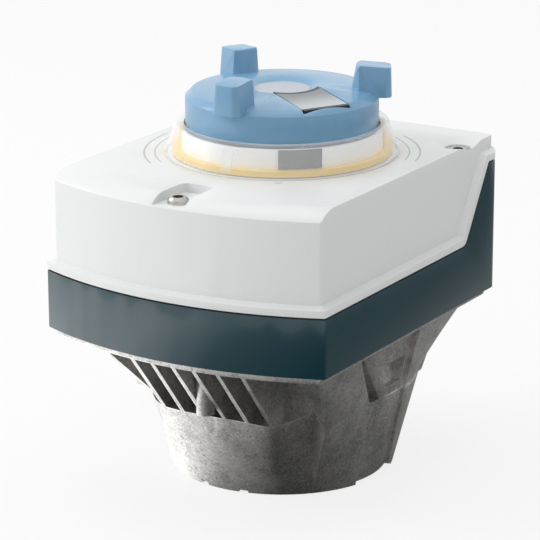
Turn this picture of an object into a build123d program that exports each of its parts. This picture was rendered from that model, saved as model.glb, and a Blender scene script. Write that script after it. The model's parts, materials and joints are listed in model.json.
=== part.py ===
from build123d import *

import os
from math import atan2, cos, degrees, hypot, pi, radians, sin, sqrt, tan

os.makedirs("parts", exist_ok=True)

# Rotary valve actuator. All sizes in millimetres, +Z up, the bowed front towards -Y.
# The origin is the centre of the valve flange face, on the output shaft's axis.

# Housing plan
half_width = 62.0
front_corner_y = -72.7
front_sagitta = 13.1
rear_y = 65.8
rear_corner_radius = 5.0
front_corner_radius = 1.2
front_radius = (half_width ** 2 + front_sagitta ** 2) / (2 * front_sagitta)
front_centre_y = front_corner_y - front_sagitta + front_radius
# Farther than any side of the housing, for cutting right through
reach = 120.0

# Base housing and the parting line, which climbs a slanted riser to a higher rear
base_bottom = 64.4
base_wall = 4.0
base_floor = 3.0
base_height = 22.8
riser_height = 30.1
parting_z = base_bottom + base_height
parting_rear_z = parting_z + riser_height
riser_foot_y = 37.9
riser_lean = 32.2
riser_foot_radius = 5.0
riser_top_radius = 3.0
gasket_thickness = 0.7
gasket_setback = 0.6
gasket_width = 4.4

# Cover
cover_height = 39.6
cover_top = parting_z + cover_height
cover_wall = 3.0
cover_wall_inset = 3.0
cover_rear_radius = 2.0
band_height = 2.7
band_slope_rise = 1.2
roll_depth = 8.9
roll_drop = 3.8
pocket_left = -6.7
pocket_right = 7.2
pocket_back_y = -60.0
pocket_floor = cover_top - 3.5
pocket_corner_radius = 2.8
pocket_pad = 2.8
dish_radius = 10.5
dish_depth = 2.1
screw_recess_radius = 5.2
screw_recess_floor = cover_top - 4.8

# Cover screws and the posts they go into
front_screw = (0.0, -74.5)
rear_screw_x = half_width - 8.8
rear_screw_y = 46.6
screw_radius = 2.0
screw_clearance = 0.3
screw_head_radius = 4.0
rear_head_radius = 4.2
screw_head_height = 2.4
drive_socket_radius = 2.2
drive_socket_depth = 1.6
screw_tip_below_parting = 12.0
post_radius = 5.2
post_rib = 5.0

# Clear window over the position drum
wheel_radius = 37.8
wheel_gap = 0.5
drum_radius = wheel_radius + 2.2
window_opening_radius = drum_radius + 2.6
window_foot_radius = drum_radius + 6.0
window_foot_depth = 1.0
window_foot_height = 1.2
window_top_radius = drum_radius + 1.9
window_top = cover_top + 12.3
window_wall = 1.2
window_rim = 1.4

# Position drum, its yellow ring and its grey field
drum_wall = 1.4
drum_floor = 1.5
drum_neck = 2.0
drum_top = window_top - window_rim - 0.5
yellow_radius = drum_radius + 3.0
yellow_bottom = cover_top + 0.4
yellow_height = 2.3
field_start = -61.0
field_end = -37.0
field_thickness = 0.5
field_bottom = yellow_bottom + yellow_height + 0.3

# Hand wheel
wheel_skirt = 3.0
wheel_bottom = window_top - 0.9
wheel_ceiling = wheel_bottom + 10.2
wheel_chamfer_z = wheel_bottom + 11.0
wheel_cone_radius = wheel_radius - 2.5
wheel_cone_z = wheel_bottom + 13.4
dish_edge_radius = 15.75
dish_edge_z = wheel_bottom + 15.3
disc_radius = 11.0
disc_top = dish_edge_z - 1.5
disc_thickness = 1.5
wheel_hub_radius = 10.0
lug_angles = (-90, 30, 150)
lug_bottom = wheel_chamfer_z + 0.2
lug_height = 13.6
lug_foot_outer = wheel_radius + 4.9
lug_top_outer = wheel_radius + 4.5
lug_foot_half = 6.0
lug_top_half = 5.0
lug_shoulder = wheel_radius - 8.0
lug_foot_inner = wheel_radius - 11.3
lug_top_inner = wheel_radius - 8.8
lug_corner = 2.6
lug_edge = 0.9
lug_outer_top = wheel_bottom + 22.7
lug_inner_top = wheel_bottom + 23.7
strip_angle = -30
strip_half = 9.8
strip_inner = 14.5
strip_outer = wheel_cone_radius - 0.3
strip_sink = 0.35
strip_thickness = 1.2
strip_gap = 0.5

# Bracket
flange_radius = 44.7
shoulder_z = 36.0
shoulder_x = 53.0
shoulder_y = 60.0
plate_thickness = 2.9
plate_inset = 3.0
plate_rear_inset = 1.8
plate_bottom = base_bottom - plate_thickness
core_low_x = 46.0
core_low_front = -43.0
core_low_rear = 40.0
core_low_corner = 10.0
core_high_x = half_width - 8.0
core_high_front = -50.0
core_high_rear = 46.0
core_high_corner = 14.0
flare_angles = (8, 30, 62)
flare_side_y = 38.0
flare_rear_x = 36.0
flare_setback = 1.2
side_step = 0.8
channel_depth = 1.6
channel_low = (-19.0, -9.0, 1.0, 11.0)
channel_high = (-16.6, -9.0, -2.0, 5.2)
panel_low = ((50.6, -10.0), (50.6, 9.5), (44.0, 9.5), (44.0, -10.0))
panel_recess = ((-8.0, 40.0), (-17.5, 51.0), (4.6, 51.0), (4.6, 40.0))
panel_recess_depth = 2.4
fin_thickness = 1.8
fin_feet = (
    (30.4, -58.8),
    (20.4, -59.8),
    (10.5, -60.4),
    (1.6, -61.0),
    (-7.8, -61.2),
    (-17.4, -59.8),
    (-31.0, -47.5),
)
cone_right = ((50.0, -17.6), (40.0, -35.0), (35.0, -46.0))
cone_left = ((-41.0, -34.5), (-49.5, -19.0))
fin_boss = (5.8, -66.0)
fin_boss_radius = 3.6
fin_boss_low = 39.0
bracket_cavity_low = 16.0
hub_radius = 24.0
hub_groove_low = 25.5
hub_groove_high = 27.5
register_radius = 29.8
register_height = 2.0
notch_width = 4.0
notch_height = 2.0
notch_angles = (-101.6, -78.8)
relief_half_angle = 17.0
relief_depth = 2.6

# Output shaft's bearing size, which the flange's centring recess follows
shaft_radius = 14.0

# Valve flange: two standard bolt circles and the centring recess
large_circle_radius = 35.0
large_tap_radius = 3.4
large_tap_depth = 14.0
small_circle_radius = 25.0
small_tap_radius = 2.5
small_tap_depth = 11.0
spigot_radius = shaft_radius + 3.5
spigot_depth = 5.0

# Output shaft
shaft_bottom = 0.8
shaft_shoulder_radius = shaft_radius + 4.0
shaft_upper_radius = shaft_radius - 2.0
running_gap = 0.05
bush_wall = 3.0
lower_bush = (5.0, 24.0)
upper_bush = (plate_bottom - 13.5, base_bottom + 2.4)
socket_width = 14.0
socket_depth = 32.0
insert_radius = shaft_radius - 3.0
insert_flat = 10.0
snap_ring_z = 2.8
snap_ring_height = 1.4
snap_ring_depth = 1.5
snap_ring_width = 3.0
snap_ring_gap = 4.0

# Gear train
tooth_root = 1.1
tooth_tip = 0.8
output_teeth = 63
pinion_teeth = 12
coarse = 1.25
fine = 0.8
stage_a_teeth = 48
stage_b_teeth = 40
motor_teeth = 10
idler_teeth = 30
hand_teeth = 16
stage_a_angle = -60.0
stage_b_from_a = 190.0
motor_from_b = 195.0
lower_plate_z = base_bottom + base_floor
gear_plate_thickness = 2.0
gear_clearance = 1.5
output_gear_z = (lower_plate_z + 5.6, lower_plate_z + 12.6)
first_wheel_z = (output_gear_z[1] + gear_clearance, output_gear_z[1] + gear_clearance + 3.5)
second_wheel_z = (first_wheel_z[1] + gear_clearance, first_wheel_z[1] + gear_clearance + 3.0)
hand_pinion_z = (second_wheel_z[1] + 2.0, second_wheel_z[1] + 5.0)
upper_plate_z = hand_pinion_z[1] + gear_clearance
push_travel = 5.0
ring_gear_z = (cover_top - 9.8, cover_top - 5.8)
web_thickness = 1.5
web_circle_radius = 27.0
web_hollow_radius = 8.0
web_count = 6
stage_a_axle = 3.0
stage_b_axle = 2.0
idler_axle_radius = 2.5

# Gear plates
plate_half = half_width - 9.0
lower_plate_front = -60.5
upper_plate_front = -66.0
plate_rear = 38.0
pillar_radius = 4.0
pillars = ((-49.0, -55.0), (49.0, -55.0), (-42.0, 32.0), (42.0, 32.0))

# Stem guide, stem and return spring
stem_radius = 6.0
guide_outer = 8.6
guide_top = cover_top + 3.2
guide_flange_radius = 33.0
guide_flange_z = (ring_gear_z[0] - 0.2, cover_top - 3.8)
guide_shoulder_radius = 35.5
guide_shoulder_height = 1.4
guide_foot_radius = 15.0
guide_foot_height = 3.0
collar_radius = 13.0
collar_height = 2.2
spring_radius = 10.8
spring_wire = 1.4
spring_turns = 5

# Motor and electrical parts
motor_can_radius = 15.0
drum_room = 3.5
below_drum_z = ring_gear_z[0] - drum_room
motor_can_height = below_drum_z - upper_plate_z - gear_plate_thickness
motor_axle = 1.5
board_bottom = upper_plate_z + gear_plate_thickness + 3.0
board_thickness = 1.6
board_half = 45.0
board_corner = 2.0
board_front = 18.0
board_rear = 56.0
standoff_radius = 3.0
terminal_pitch = 5.08
terminal_count = 10
terminal_depth = 9.0
terminal_height = 9.5
terminal_setback = 1.0
terminal_mouth = 3.4
relay_places = ((-34.0, 40.0), (34.0, 40.0))
relay_width = 10.0
relay_length = 16.0
relay_height = 9.0
capacitor_place = (-16.0, 32.0)
capacitor_radius = 5.0
entry_z = base_bottom + 25.6
large_entry_radius = 10.0
small_entry_radius = 8.0
entry_spacing = 26.0
plug_overhang = 2.0
plug_head = 3.5
bracket_screws = ((-41.0, -66.0), (41.0, -66.0), (-50.0, 52.0), (50.0, 52.0))
bracket_screw_radius = 2.5
bracket_head_room = 5.8
bracket_post_height = 9.0
bracket_post_radius = 5.0


def front_y(x, inset):
    """Y of the bowed front wall at x, for a wall set in from the outside face."""
    return front_centre_y - sqrt((front_radius - inset) ** 2 - x ** 2)


def housing_outline(inset, rear_inset, rear_radius):
    """Plan of the housing: straight sides and rear, and a bowed front."""
    x = half_width - inset
    rear = rear_y - rear_inset
    corner = front_y(x, inset)
    with BuildSketch() as plan:
        with BuildLine():
            Polyline((x, corner), (x, rear), (-x, rear), (-x, corner))
            ThreePointArc((-x, corner), (0, front_y(0, inset)), (x, corner))
        make_face()
        fillet(plan.vertices().group_by(Axis.Y)[-1], rear_radius)
        fillet(plan.vertices().group_by(Axis.Y)[0], front_corner_radius)
    return plan.sketch


def parting_points(lift):
    """Side view of the parting line, moved by lift square to itself."""
    lean = tan(radians(riser_lean))
    shift = lift * tan(radians(45 - riser_lean / 2))
    foot = riser_foot_y - shift
    head = riser_foot_y + (parting_rear_z - parting_z) * lean - shift
    return (
        (-reach, parting_z + lift),
        (foot, parting_z + lift),
        (head, parting_rear_z + lift),
        (reach, parting_rear_z + lift),
    )


def beside_parting(lift, far_z):
    """Side view of all that lies between the lifted parting line and a far level."""
    start, foot, head, end = parting_points(lift)
    with BuildSketch() as region:
        with BuildLine():
            Polyline(start, foot, head, end, (reach, far_z), (-reach, far_z), close=True)
        make_face()
        bends = [region.vertices().sort_by_distance(Vector(*point))[0] for point in (foot, head)]
        fillet(bends[0], riser_foot_radius - lift)
        fillet(bends[1], riser_top_radius + lift)
    return region.sketch


def gear_outline(teeth, module, phase):
    """Spur gear of slightly thin, straight-flanked teeth; phase is one tooth's angle."""
    pitch_radius = teeth * module / 2
    root_radius = pitch_radius - tooth_root * module
    tip_radius = pitch_radius + tooth_tip * module
    root_half = degrees(0.30 * pi * module / root_radius)
    tip_half = degrees(0.115 * pi * module / tip_radius)
    points = []
    for tooth in range(teeth):
        middle = phase + tooth * 360 / teeth
        for radius, offset in (
            (root_radius, -root_half),
            (tip_radius, -tip_half),
            (tip_radius, tip_half),
            (root_radius, root_half),
        ):
            angle = radians(middle + offset)
            points.append((radius * cos(angle), radius * sin(angle)))
    with BuildSketch() as outline:
        with BuildLine():
            Polyline(*points, close=True)
        make_face()
    return outline.sketch


def mesh_phase(driver, driver_teeth, driver_phase, driven, driven_teeth):
    """Angle of a tooth of the driven gear that leaves it in mesh with its driver."""
    line = degrees(atan2(driven[1] - driver[1], driven[0] - driver[0]))
    fraction = (driver_phase - line) * driver_teeth / 360
    return line + 180 + (0.5 - fraction) * 360 / driven_teeth


def polar(centre, distance, angle):
    """The point at a distance and an angle from a centre."""
    turn = radians(angle)
    return (centre[0] + distance * cos(turn), centre[1] + distance * sin(turn))


def save(piece, name):
    """Label a finished piece and write it."""
    piece.part.label = name
    export_step(piece.part, f"parts/{name}.step")


# Places of the gear centres
axis_centre = (0.0, 0.0)
stage_a_distance = coarse * (output_teeth + pinion_teeth) / 2
stage_a = polar(axis_centre, stage_a_distance, stage_a_angle)
stage_b = polar(stage_a, fine * (stage_a_teeth + pinion_teeth) / 2, stage_b_from_a)
motor_centre = polar(stage_b, fine * (stage_b_teeth + motor_teeth) / 2, motor_from_b)
# The idler's centre is where two circles meet, one about the axis and one about stage B
idler_from_axis = fine * (idler_teeth + hand_teeth) / 2
idler_from_b = fine * (idler_teeth + stage_b_teeth) / 2
b_distance = hypot(*stage_b)
along = (idler_from_axis ** 2 - idler_from_b ** 2 + b_distance ** 2) / (2 * b_distance)
aside = sqrt(idler_from_axis ** 2 - along ** 2)
towards_b = degrees(atan2(stage_b[1], stage_b[0]))
idler = polar(polar(axis_centre, along, towards_b), aside, towards_b + 90)

# Tooth phases at rest
output_phase = 0.0
a_phase = mesh_phase(axis_centre, output_teeth, output_phase, stage_a, pinion_teeth)
ring_phase = mesh_phase(stage_a, pinion_teeth, a_phase, axis_centre, output_teeth)
b_phase = mesh_phase(stage_a, stage_a_teeth, a_phase, stage_b, pinion_teeth)
motor_phase = mesh_phase(stage_b, stage_b_teeth, b_phase, motor_centre, motor_teeth)
idler_phase = mesh_phase(stage_b, stage_b_teeth, b_phase, idler, idler_teeth)
hand_phase = mesh_phase(idler, idler_teeth, idler_phase, axis_centre, hand_teeth)

front_axis = Axis((0, front_centre_y, 0), (0, 0, 1))
front_section = Plane(origin=(0, front_centre_y, 0), x_dir=(0, -1, 0), z_dir=(-1, 0, 0))


# Bracket
# The cone, the core above its shoulder and the corner buttress are lofted, then joined.
buttress_low = ((32.3, -31.0), (42.0, -15.3), (30.0, -12.0), (24.0, -24.0), (31.0, -29.6))
buttress_mid = ((50.0, -51.7), (50.0, -17.6), (40.0, -12.0), (34.0, -34.0), (39.0, -40.5))
buttress_root = ((50.0, -51.7), (50.0, -17.6), (45.0, -14.0), (45.0, -30.0), (49.0, -51.0))
buttress_side = half_width - plate_inset - side_step
buttress_face = buttress_side - 7.0
buttress_head = (
    (buttress_side, front_corner_y + 2.1),
    (buttress_side, -39.0),
    (core_high_x - 4, -36.0),
    (core_high_x - 4, -45.0),
    (buttress_face, front_corner_y - 0.5),
)
panel_side = buttress_side - 2.2
panel_high = (
    (panel_side, -34.0),
    (panel_side, 9.5),
    (core_high_x - 4, 9.5),
    (core_high_x - 4, -34.0),
)


def corner_loft(low_points, low_z, high_points, high_z):
    """Straight-sided solid between two polygons with as many corners."""
    with BuildPart() as body:
        for points, level in ((low_points, low_z), (high_points, high_z)):
            with BuildSketch(Plane.XY.offset(level)):
                with BuildLine():
                    Polyline(*points, close=True)
                make_face()
        loft(ruled=True)
    return body.part


def on_shoulder(angle):
    """Point at a parameter angle, on an ellipse just inside the shoulder's."""
    turn = radians(angle)
    return ((shoulder_x - flare_setback) * cos(turn), (shoulder_y - flare_setback) * sin(turn))


def arc_chain(angles):
    """Rear half of the shoulder, as arcs that pass through points of its ellipse."""
    for low, high in zip(angles, angles[1:]):
        ThreePointArc(on_shoulder(low), on_shoulder((low + high) / 2), on_shoulder(high))


def channel_section(x_radius, y_radius, angles, level):
    """Corners of the channel at a level: just inside the cone's surface, and well outside it."""
    inner = [
        ((x_radius - channel_depth) * cos(radians(angle)), (y_radius - channel_depth) * sin(radians(angle)))
        for angle in angles
    ]
    outer = [(1.3 * inner[-1][0], 1.3 * inner[-1][1]), (1.3 * inner[0][0], 1.3 * inner[0][1])]
    return inner + outer


with BuildPart() as mount_bracket:
    with BuildSketch(Plane.XY):
        with BuildLine():
            CenterArc((0, 0), flange_radius, 0, 180)
            CenterArc((0, 0), flange_radius, 180, 180)
        make_face()
    # The shoulder is half an ellipse behind and bulges to carry the feet of the fins in front
    with BuildSketch(Plane.XY.offset(shoulder_z)):
        with BuildLine():
            EllipticalCenterArc((0, 0), shoulder_x, shoulder_y, 0, arc_size=180)
            Spline(
                (-shoulder_x, 0),
                *reversed(cone_left),
                *reversed(fin_feet),
                *reversed(cone_right),
                (shoulder_x, 0),
                tangents=((0, -1), (0, 1)),
            )
        make_face()
    loft()
    core_low_depth = core_low_rear - core_low_front
    core_high_depth = core_high_rear - core_high_front
    with BuildSketch(Plane.XY.offset(shoulder_z - 1)):
        with Locations((0, (core_low_rear + core_low_front) / 2)):
            RectangleRounded(2 * core_low_x, core_low_depth, core_low_corner)
    with BuildSketch(Plane.XY.offset(plate_bottom)):
        with Locations((0, (core_high_rear + core_high_front) / 2)):
            RectangleRounded(2 * core_high_x, core_high_depth, core_high_corner)
    loft()
    # The rear of the cone flares up to the plate's sides
    turned_angles = tuple(180 - angle for angle in reversed(flare_angles))
    start_x, start_y = on_shoulder(flare_angles[0])
    flare_x = half_width - plate_inset - side_step
    flare_rear = rear_y - plate_rear_inset - 1
    bend = (flare_x - 6.5, flare_rear - 9)
    with BuildSketch(Plane.XY.offset(shoulder_z - 1)):
        with BuildLine():
            arc_chain(flare_angles + turned_angles)
            Line((-start_x, start_y), (start_x, start_y))
        make_face()
    with BuildSketch(Plane.XY.offset(plate_bottom)):
        with BuildLine():
            Line((flare_x, start_y), (flare_x, flare_side_y))
            ThreePointArc((flare_x, flare_side_y), bend, (flare_rear_x, flare_rear))
            Line((flare_rear_x, flare_rear), (-flare_rear_x, flare_rear))
            ThreePointArc(
                (-flare_rear_x, flare_rear), (-bend[0], bend[1]), (-flare_x, flare_side_y)
            )
            Line((-flare_x, flare_side_y), (-flare_x, start_y))
            Line((-flare_x, start_y), (flare_x, start_y))
        make_face()
    loft(ruled=True)
    with BuildSketch(Plane.XY.offset(plate_bottom)):
        add(housing_outline(plate_inset, plate_rear_inset, rear_corner_radius))
    extrude(amount=plate_thickness)
    add(corner_loft(buttress_low, 0, buttress_mid, shoulder_z))
    add(corner_loft(buttress_root, shoulder_z, buttress_head, plate_bottom))
    add(corner_loft(panel_low, shoulder_z - 1, panel_high, plate_bottom))
    for place, foot_y in fin_feet:
        head_y = front_y(place, plate_inset) + 0.6
        with BuildSketch(Plane.YZ.offset(place)):
            with BuildLine():
                Polyline(
                    (foot_y + 0.8, shoulder_z - 1),
                    (head_y, plate_bottom),
                    (core_high_front + 2, plate_bottom),
                    (core_low_front + 2, shoulder_z - 1),
                    close=True,
                )
            make_face()
        extrude(amount=fin_thickness / 2, both=True)
    with BuildSketch(Plane.XY.offset(fin_boss_low)):
        with Locations(fin_boss):
            Circle(fin_boss_radius)
    extrude(amount=plate_bottom - fin_boss_low)
    with BuildSketch(Plane.XY.offset(base_bottom)):
        Circle(register_radius)
    extrude(amount=register_height)
    # A moulded groove round the hub, open to the top
    with BuildSketch(Plane.XZ):
        with BuildLine():
            Polyline(
                (hub_radius, bracket_cavity_low),
                (hub_groove_low, bracket_cavity_low),
                (hub_groove_high, base_bottom + register_height),
                (hub_radius, base_bottom + register_height),
                close=True,
            )
        make_face()
    revolve(axis=Axis.Z, mode=Mode.SUBTRACT)
    # Screws to the housing, with room below for their heads
    with BuildSketch(Plane.XY.offset(plate_bottom)):
        with Locations(*bracket_screws):
            Circle(bracket_screw_radius + screw_clearance)
    extrude(amount=plate_thickness, mode=Mode.SUBTRACT)
    with BuildSketch(Plane.XY):
        with Locations(*bracket_screws):
            Circle(bracket_head_room)
    extrude(amount=plate_bottom, mode=Mode.SUBTRACT)
    # Notches and a relief in the rim of the flange
    for angle in notch_angles:
        with BuildSketch(Plane.XY):
            with Locations(polar((0, 0), flange_radius, angle)):
                Rectangle(notch_width, notch_width, rotation=angle)
        extrude(amount=notch_height, mode=Mode.SUBTRACT)
    with BuildSketch(Plane.XY):
        with BuildLine():
            CenterArc((0, 0), flange_radius + 2, -relief_half_angle, 2 * relief_half_angle)
            CenterArc((0, 0), flange_radius - relief_depth, -relief_half_angle, 2 * relief_half_angle)
            for angle in (-relief_half_angle, relief_half_angle):
                Line(
                    polar((0, 0), flange_radius - relief_depth, angle),
                    polar((0, 0), flange_radius + 2, angle),
                )
        make_face()
    extrude(amount=notch_height, mode=Mode.SUBTRACT)
    # A shallow channel up the right of the cone, and a recess in the panel above it
    add(
        corner_loft(
            channel_section(flange_radius, flange_radius, channel_low, 0),
            0,
            channel_section(shoulder_x, shoulder_y, channel_high, shoulder_z),
            shoulder_z,
        ),
        mode=Mode.SUBTRACT,
    )
    with BuildPart(mode=Mode.PRIVATE) as panel_hollow:
        with BuildSketch(Plane.YZ.offset(panel_low[0][0] - panel_recess_depth)):
            with BuildLine():
                Polyline(*panel_recess, close=True)
            make_face()
        extrude(amount=reach)
    add(panel_hollow.part, mode=Mode.SUBTRACT)
    with Locations((0, 0, spigot_depth / 2)):
        Cylinder(spigot_radius, spigot_depth, mode=Mode.SUBTRACT)
    with Locations((0, 0, (base_bottom + register_height) / 2)):
        Cylinder(
            shaft_radius + bush_wall, base_bottom + register_height + 1, mode=Mode.SUBTRACT
        )
    with BuildSketch(Plane.XY):
        with PolarLocations(large_circle_radius, 4, 45):
            Circle(large_tap_radius)
    extrude(amount=large_tap_depth, mode=Mode.SUBTRACT)
    with BuildSketch(Plane.XY):
        with PolarLocations(small_circle_radius, 4, 45):
            Circle(small_tap_radius)
    extrude(amount=small_tap_depth, mode=Mode.SUBTRACT)
save(mount_bracket, "mount_bracket")


# Base housing
def post_outline(x, y, radius, rib_end):
    """Plan of a screw post and, where a rib end is given, the rib that ties it to the wall."""
    with BuildSketch() as plan:
        with Locations((x, y)):
            Circle(radius)
        if rib_end is not None:
            with Locations((x, (y + rib_end) / 2)):
                Rectangle(post_rib, abs(rib_end - y))
    return plan.sketch


rear_posts = ((-rear_screw_x, rear_screw_y), (rear_screw_x, rear_screw_y))
cover_posts = (front_screw,) + rear_posts
wall_middle_y = front_y(0, base_wall / 2)
entries = (
    (-entry_spacing, large_entry_radius),
    (0.0, small_entry_radius),
    (entry_spacing, large_entry_radius),
)

with BuildPart() as base_housing:
    with BuildSketch(Plane.XY.offset(base_bottom)):
        add(housing_outline(0, 0, rear_corner_radius))
    extrude(amount=parting_rear_z - base_bottom)
    with BuildSketch(Plane.XY.offset(base_bottom + base_floor)):
        add(housing_outline(base_wall, base_wall, rear_corner_radius - base_wall + 1))
    extrude(amount=parting_rear_z, mode=Mode.SUBTRACT)
    with BuildSketch(Plane.XY.offset(base_bottom)):
        add(post_outline(*front_screw, post_radius, wall_middle_y))
        for x, y in rear_posts:
            add(post_outline(x, y, post_radius, None))
    extrude(amount=parting_rear_z - base_bottom)
    with BuildSketch(Plane.YZ):
        add(beside_parting(0, 2 * parting_rear_z))
    extrude(amount=reach, both=True, mode=Mode.SUBTRACT)
    with BuildSketch(Plane.XY.offset(base_bottom)):
        with Locations(*bracket_screws):
            Circle(bracket_post_radius)
    extrude(amount=base_floor + bracket_post_height)
    with BuildSketch(Plane.XY.offset(base_bottom)):
        Circle(register_radius + running_gap)
    extrude(amount=base_floor, mode=Mode.SUBTRACT)
    with BuildSketch(Plane.XY.offset(base_bottom)):
        with Locations(*bracket_screws):
            Circle(bracket_screw_radius)
    extrude(amount=base_floor + bracket_post_height - 1, mode=Mode.SUBTRACT)
    with BuildSketch(Plane.XY.offset(parting_z - screw_tip_below_parting - 1)):
        with Locations(*cover_posts):
            Circle(screw_radius)
    extrude(amount=parting_rear_z, mode=Mode.SUBTRACT)
    with BuildSketch(Plane.XZ.offset(-rear_y)):
        for place, radius in entries:
            with Locations((place, entry_z)):
                Circle(radius)
    extrude(amount=base_wall, mode=Mode.SUBTRACT)
save(base_housing, "base_housing")


# Gasket between the base and the cover
with BuildPart() as cover_gasket:
    with BuildSketch(Plane.XY.offset(parting_z)):
        add(housing_outline(gasket_setback, gasket_setback, rear_corner_radius - gasket_setback))
        add(
            housing_outline(
                gasket_setback + gasket_width,
                gasket_setback + gasket_width,
                rear_corner_radius - gasket_width,
            ),
            mode=Mode.SUBTRACT,
        )
    extrude(amount=parting_rear_z)
    with BuildSketch(Plane.YZ):
        add(beside_parting(gasket_thickness, 3 * parting_rear_z))
    extrude(amount=reach, both=True, mode=Mode.SUBTRACT)
    with BuildSketch(Plane.YZ):
        add(beside_parting(0, -reach))
    extrude(amount=reach, both=True, mode=Mode.SUBTRACT)
    with BuildSketch(Plane.XY):
        with Locations(*cover_posts):
            Circle(screw_radius + screw_clearance)
    extrude(amount=2 * parting_rear_z, mode=Mode.SUBTRACT)
save(cover_gasket, "cover_gasket")


# Cover
# A rim band lies flush with the base; above its sloped ledge the walls stand further in.
ledge_lift = gasket_thickness + band_height + band_slope_rise
band_lift = gasket_thickness + band_height
main_radius = front_radius - cover_wall_inset

with BuildPart() as ledge_slope:
    for inset, lift in ((cover_wall_inset, ledge_lift), (0, band_lift), (-3, 2 * band_lift - ledge_lift)):
        with BuildSketch(Plane.YZ.offset(half_width - inset)):
            add(beside_parting(lift, 2 * parting_rear_z))
    loft(ruled=True)

with BuildPart() as top_cover:
    with BuildSketch(Plane.XY.offset(parting_z)):
        add(housing_outline(0, 0, rear_corner_radius))
    extrude(amount=cover_height)
    with BuildSketch(Plane.YZ):
        add(beside_parting(ledge_lift, 2 * parting_rear_z))
    extrude(amount=reach, both=True, mode=Mode.SUBTRACT)
    add(ledge_slope.part, mode=Mode.SUBTRACT)
    add(mirror(ledge_slope.part, about=Plane.YZ, mode=Mode.PRIVATE), mode=Mode.SUBTRACT)
    with BuildSketch(front_section):
        with BuildLine():
            Polyline(
                (main_radius, parting_z + ledge_lift),
                (main_radius + 3 * cover_wall_inset, parting_z + ledge_lift - 3 * band_slope_rise),
                (main_radius + 3 * cover_wall_inset, cover_top),
                (main_radius, cover_top),
                close=True,
            )
        make_face()
    revolve(axis=front_axis, mode=Mode.SUBTRACT)
    with BuildSketch(Plane.XY.offset(parting_z)):
        add(housing_outline(cover_wall_inset, 0, cover_rear_radius))
    extrude(amount=cover_height)
    with BuildSketch(Plane.XY.offset(parting_z)):
        inner_inset = cover_wall_inset + cover_wall
        add(housing_outline(inner_inset, cover_wall, cover_rear_radius))
    extrude(amount=cover_height - cover_wall, mode=Mode.SUBTRACT)
    # Posts and the pad below the front screw pocket
    with BuildSketch(Plane.XY.offset(parting_z)):
        add(post_outline(*front_screw, post_radius, front_y(0, inner_inset - 1)))
        for x, y in rear_posts:
            add(post_outline(x, y, screw_recess_radius + 1.2, None))
        add(housing_outline(inner_inset - 1, 1, cover_rear_radius), mode=Mode.INTERSECT)
    extrude(amount=cover_height - cover_wall)
    with BuildSketch(Plane.XY.offset(pocket_floor - pocket_pad)):
        with BuildLine():
            Polyline(
                (pocket_left - cover_wall, front_y(0, inner_inset - 1)),
                (pocket_left - cover_wall, pocket_back_y + cover_wall),
                (pocket_right + cover_wall, pocket_back_y + cover_wall),
                (pocket_right + cover_wall, front_y(0, inner_inset - 1)),
                close=True,
            )
        make_face()
    extrude(amount=pocket_pad + 1)
    with BuildSketch(Plane.YZ):
        add(beside_parting(gasket_thickness, -reach))
    extrude(amount=reach, both=True, mode=Mode.SUBTRACT)
    # The front edge rolls down to a crease
    roll_radius = (roll_depth ** 2 + roll_drop ** 2) / (2 * roll_drop)
    with BuildSketch(front_section):
        with BuildLine():
            Polyline(
                (main_radius, cover_top - roll_drop),
                (main_radius + 1, cover_top - roll_drop),
                (main_radius + 1, cover_top + 1),
                (main_radius - roll_depth, cover_top + 1),
                (main_radius - roll_depth, cover_top),
            )
            RadiusArc(
                (main_radius - roll_depth, cover_top),
                (main_radius, cover_top - roll_drop),
                roll_radius,
            )
        make_face()
    revolve(axis=front_axis, mode=Mode.SUBTRACT)
    # Screw pocket, open to the front
    with BuildSketch(Plane.XY.offset(pocket_floor)) as pocket:
        with BuildLine():
            Polyline(
                (pocket_left, -reach),
                (pocket_left, pocket_back_y),
                (pocket_right, pocket_back_y),
                (pocket_right, -reach),
                close=True,
            )
        make_face()
        fillet(pocket.vertices().group_by(Axis.Y)[-1], pocket_corner_radius)
    extrude(amount=cover_top, mode=Mode.SUBTRACT)
    # Dished seats of the rear screws
    with BuildPart(mode=Mode.PRIVATE) as seat:
        with BuildSketch(Plane.XZ):
            with BuildLine():
                Polyline(
                    (0, screw_recess_floor),
                    (screw_recess_radius, screw_recess_floor),
                    (screw_recess_radius, cover_top - dish_depth),
                    (dish_radius, cover_top),
                    (dish_radius, cover_top + 1),
                    (0, cover_top + 1),
                    close=True,
                )
            make_face()
        revolve(axis=Axis.Z)
    with Locations(*rear_posts):
        add(seat.part, mode=Mode.SUBTRACT)
    with BuildSketch(Plane.XY):
        with Locations(*cover_posts):
            Circle(screw_radius + screw_clearance)
    extrude(amount=cover_top, mode=Mode.SUBTRACT)
    # Opening for the position drum and the groove that seats the window
    with BuildSketch(Plane.XY.offset(cover_top)):
        Circle(window_opening_radius)
    extrude(amount=-2 * cover_wall, mode=Mode.SUBTRACT)
    with BuildSketch(Plane.XY.offset(cover_top)):
        Circle(window_foot_radius + running_gap)
        Circle(window_foot_radius - window_wall - running_gap, mode=Mode.SUBTRACT)
    extrude(amount=-window_foot_depth, mode=Mode.SUBTRACT)
save(top_cover, "top_cover")


# Cover screws
def screw(head_radius, head_height, length, radius):
    """Pan-head screw standing head up, with its seat at the origin."""
    with BuildPart() as body:
        with BuildSketch(Plane.XZ):
            with BuildLine():
                Polyline(
                    (0, -length),
                    (radius - 0.5, -length),
                    (radius, -length + 0.5),
                    (radius, 0),
                    (head_radius, 0),
                    (head_radius, 0.6 * head_height),
                    (0.8 * head_radius, head_height),
                    (0, head_height),
                    close=True,
                )
            make_face()
        revolve(axis=Axis.Z)
        with BuildSketch(Plane.XY.offset(head_height)):
            RegularPolygon(drive_socket_radius, 6)
        extrude(amount=-drive_socket_depth, mode=Mode.SUBTRACT)
    return body.part


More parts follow.
